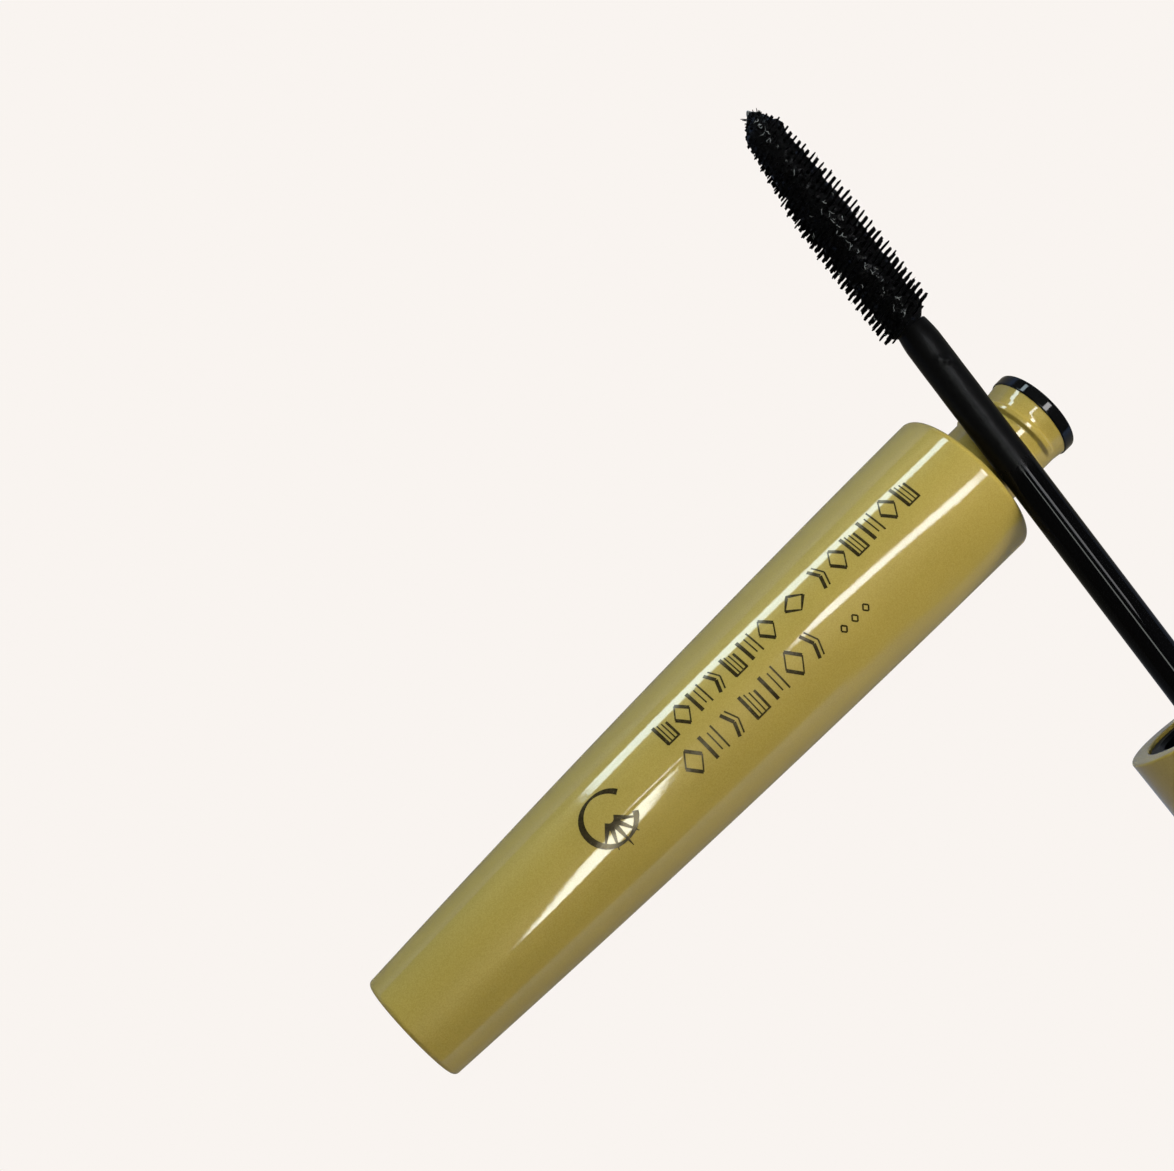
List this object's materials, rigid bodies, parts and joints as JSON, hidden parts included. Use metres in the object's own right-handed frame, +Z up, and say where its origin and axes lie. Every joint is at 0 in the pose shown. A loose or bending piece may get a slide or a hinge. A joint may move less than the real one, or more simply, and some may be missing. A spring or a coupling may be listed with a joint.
{
  "type": "mascara tube",
  "caption": "Tapered olive-gold mascara tube, opened: the screw-necked bottle lies on its flank and the cap with its rod and bristle brush lies across the neck.",
  "frame": {"origin": "on the floor, under the middle of the opened arrangement's footprint", "axes": "+X runs along the bottle from its base to its neck, +Z is up, and +Y is across the bottle, towards the brush's tip; the cap lies on the -Y side"},
  "size_m": [0.1012, 0.1328, 0.0251],
  "materials": {
    "gold_paint": "fine olive-gold sprayed paint under clear gloss lacquer",
    "black_gloss": "moulded, high gloss",
    "paste": "thick wet paste",
    "soft_liner": "soft foamed liner",
    "rod_black": "moulded gloss, filmed with paste near the brush",
    "wire": "twisted stainless wire, stained with paste",
    "fibre": "nylon fibres clumped with paste"
  },
  "bodies": {
    "filled_bottle": {"bottle": "gold_paint", "wiper": "black_gloss", "mascara_formula": "paste"},
    "liner": {"cap_liner": "soft_liner"},
    "wand": {"cap_shell": "gold_paint", "cap_insert": "black_gloss", "rod": "rod_black", "brush_wire": "wire", "bristles": "fibre"}
  },
  "joints": [
    {"name": "wand_lift", "type": "slide", "parent": "filled_bottle", "child": "liner", "axis": [0, 0, 1], "range_m": [0, 0.06]},
    {"name": "cap_turn", "type": "hinge", "parent": "liner", "child": "wand", "pos_m": [0.03647, -0.01758, 0.01346], "axis": [-0.1383, -0.9841, -0.1116], "range_deg": [0, 576]}
  ]
}
